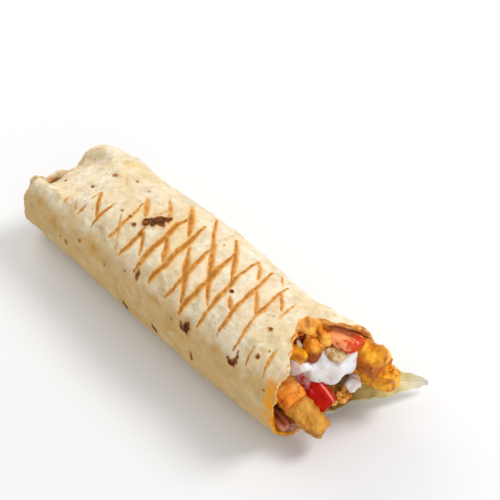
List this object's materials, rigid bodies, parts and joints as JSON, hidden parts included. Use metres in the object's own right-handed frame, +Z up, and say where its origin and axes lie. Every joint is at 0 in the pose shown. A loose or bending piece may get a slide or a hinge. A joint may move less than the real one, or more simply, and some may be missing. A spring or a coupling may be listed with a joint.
{
  "type": "gyro wrap",
  "caption": "Grilled flatbread roll folded shut at one end, with chicken, fries, tomato, white sauce and a lettuce leaf showing at its open end.",
  "frame": {"origin": "on the flat strip of the underside that the roll rests on, midway along the roll", "axes": "+X along the roll towards its open end, +Z up"},
  "size_m": [0.2206, 0.0799, 0.0572],
  "materials": {
    "flatbread": "dry baked flatbread, cream with orange-brown grill marks; matte_plastic stands in for bread",
    "chicken": "browned fried chicken; matte_plastic stands in for meat",
    "fry": "golden fried potato; matte_plastic stands in for potato",
    "meat": "moist pinkish-brown meat; gloss_plastic stands in for it",
    "tomato": "wet tomato flesh; gloss_plastic stands in for it",
    "cabbage": "pale cabbage under sauce; gloss_plastic stands in for it",
    "sauce": "thick white yogurt sauce; gloss_plastic stands in for it",
    "lettuce": "pale yellow-green lettuce; matte_plastic stands in for leaf"
  },
  "bodies": {
    "root": {"flatbread": "flatbread", "chicken_filling": "chicken", "chicken_chunk": "chicken", "chicken_bits": "chicken", "fry_outer": "fry", "fry_inner": "fry", "fry_short": "fry", "potato_wedge_upper": "fry", "potato_wedge_lower": "fry", "meat_strip": "meat", "tomato_slice_lower": "tomato", "tomato_slice_upper": "tomato", "cabbage_piece": "cabbage", "yogurt_sauce": "sauce", "sauce_dab": "sauce", "lettuce_leaf": "lettuce"}
  },
  "joints": []
}
